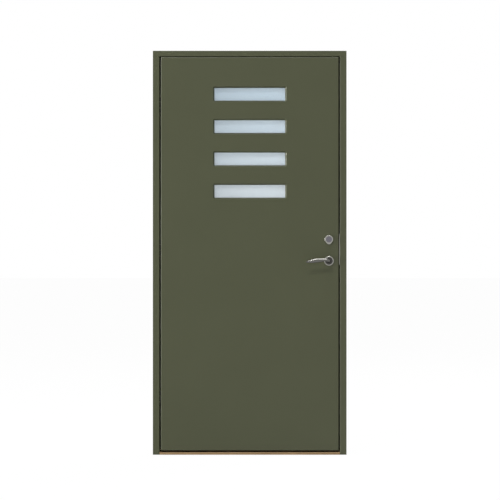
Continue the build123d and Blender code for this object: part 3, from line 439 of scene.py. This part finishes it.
# The lathe's marks on the roses and the collar are as fine as the nickel's, and drawn as coarse
rim = metal("bright_turned_stainless", "#A4A39D", "#92918B", 0.28, FINE_MARKS, 0.08)
# The middle's dark colour is painted shade inside the rim, not the steel's own
turned = metal("turned_stainless_painted_shade", "#4C4B49", "#403F3D", 0.30, FINE_MARKS, 0.12)

# The spindle's and the cylinder's places and the leaf's depth, in millimetres, as in the CAD
LOCK_X = 405.0
HANDLE_Z = 991.0
CYLINDER_Z = 1101.0
LEAF_D = 62.0


def piece(name, shape, finish, body, stands_for):
    """Makes an object of a bmesh that is in millimetres. It rides on a body, in place of a CAD node."""
    bmesh.ops.recalc_face_normals(shape, faces=shape.faces)
    bmesh.ops.scale(shape, vec=(MM, MM, MM), verts=shape.verts)
    mesh = bpy.data.meshes.new(name)
    shape.to_mesh(mesh)
    shape.free()
    mesh.materials.append(finish)
    mesh.shade_smooth()
    made = bpy.data.objects.new(name, mesh)
    bpy.context.scene.collection.objects.link(made)
    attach(made, body)
    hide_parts(stands_for)
    return made


# The lever's run, from the rose round the elbow to the tip: place across, out from the leaf and up, the
# way it heads there in degrees, and half its depth and half its height
LEVER_RUN = (
    (0.0, 1.0, 0.0, 0, 8.5, 8.5),
    (0.0, 9.0, 0.0, 0, 8.5, 8.5),
    (0.0, 26.0, 0.0, 0, 8.4, 8.4),
    (0.0, 38.0, 0.3, 0, 8.4, 8.4),
    (-1.2, 44.6, 1.0, 28, 8.4, 8.4),
    (-4.8, 48.7, 2.2, 58, 8.2, 8.6),
    (-11.0, 50.0, 3.8, 88, 7.4, 8.4),
    (-21.4, 50.0, 4.4, 90, 6.4, 7.8),
    (-33.0, 50.0, 4.0, 90, 6.3, 8.2),
    (-45.0, 50.0, 3.2, 90, 6.4, 9.0),
    (-58.0, 50.0, 2.1, 90, 6.4, 9.9),
    (-70.0, 50.0, 1.0, 90, 6.4, 10.3),
    (-82.0, 50.0, -0.2, 90, 6.2, 10.0),
    (-92.0, 50.0, -1.6, 90, 5.8, 9.0),
    (-102.0, 50.0, -3.0, 90, 5.1, 7.2),
    (-110.0, 50.0, -4.3, 90, 4.3, 5.2),
    (-115.5, 50.0, -5.4, 90, 3.1, 3.3),
    (-118.4, 50.0, -6.2, 90, 1.6, 1.6),
)


def lever(name, leaf_face, way, stands_for):
    """A smooth casting through oval sections, from the neck in the rose round the elbow to the tip."""
    shape = bmesh.new()
    rings = []
    for across, out, up, heading, deep, high in LEVER_RUN:
        ring = bmesh.ops.create_circle(shape, segments=24, radius=1.0)["verts"]
        angle = math.radians(heading)
        run = Vector((-math.sin(angle), way * math.cos(angle), 0))
        side = Vector((0, 0, 1)).cross(run)
        spot = Vector((LOCK_X + across, leaf_face + way * out, HANDLE_Z + up))
        turn = Matrix((side * deep, Vector((0, 0, high)), run)).transposed().to_4x4()
        bmesh.ops.transform(shape, matrix=Matrix.Translation(spot) @ turn, verts=ring)
        rings.append(list(dict.fromkeys(edge for vert in ring for edge in vert.link_edges)))
    for one, other in zip(rings, rings[1:]):
        bmesh.ops.bridge_loops(shape, edges=one + other)
    bmesh.ops.edgeloop_fill(shape, edges=rings[0])
    bmesh.ops.edgeloop_fill(shape, edges=rings[-1])
    made = piece(name, shape, polished, "levers", stands_for)
    smooth = made.modifiers.new("smooth", "SUBSURF")
    smooth.levels = smooth.render_levels = 2


lever("polished_outer_lever", 0.0, -1, "outer_lever")
lever("polished_inner_lever", LEAF_D, 1, "inner_lever")

# The roses' sections, as radius and height off the leaf, from the outer edge round to the hidden underside
LEVER_ROSE = (
    (22.7, 0.0), (24.5, 0.0), (24.5, 5.6), (24.3, 6.6), (23.6, 7.5), (22.4, 8.0), (19.6, 8.0), (19.5, 7.9),
    (19.5, 6.0), (19.3, 5.8), (18.2, 5.8), (18.0, 6.0), (18.0, 6.8), (17.8, 7.0), (9.2, 7.0), (8.7, 6.8),
    (8.6, 6.2), (8.6, 4.0), (22.7, 4.0),
)
TURN_ROSE = (
    (22.7, 0.0), (24.5, 0.0), (24.5, 5.6), (24.3, 6.6), (23.6, 7.5), (22.4, 8.0), (6.2, 8.0), (5.3, 7.8),
    (5.1, 7.2), (5.1, 4.0), (22.7, 4.0),
)
# The bright rim ends at this radius, just outside the lever rose's groove, and the middle darkened as
# painted shade begins
MIDDLE_R = 19.8


def rose(name, section, leaf_face, way, height, stands_for):
    """A turned rose: its section spun round its own line, with a bright rim and a turned middle darkened as
    painted shade.
    """
    shape = bmesh.new()
    points = [shape.verts.new((LOCK_X + radius, leaf_face + way * out, height)) for radius, out in section]
    edges = [shape.edges.new(pair) for pair in zip(points, points[1:] + points[:1])]
    bmesh.ops.spin(shape, geom=points + edges, cent=(LOCK_X, leaf_face, height), axis=(0, 1, 0), steps=96,
                   angle=math.radians(360), use_merge=True)
    for facet in shape.faces:
        middle = facet.calc_center_median()
        facet.material_index = int(math.hypot(middle.x - LOCK_X, middle.z - height) < MIDDLE_R)
    made = piece(name, shape, rim, "leaf", stands_for)
    made.data.materials.append(turned)
    made.modifiers.new("even_shading", "WEIGHTED_NORMAL")


rose("polished_outer_rose", LEVER_ROSE, 0.0, -1, HANDLE_Z, "outer_rose")
rose("polished_inner_rose", LEVER_ROSE, LEAF_D, 1, HANDLE_Z, "inner_rose")
rose("polished_turn_rose", TURN_ROSE, LEAF_D, 1, CYLINDER_Z, "turn_rose")
give(rim, "cylinder_collar")
give(polished, "thumb_turn")
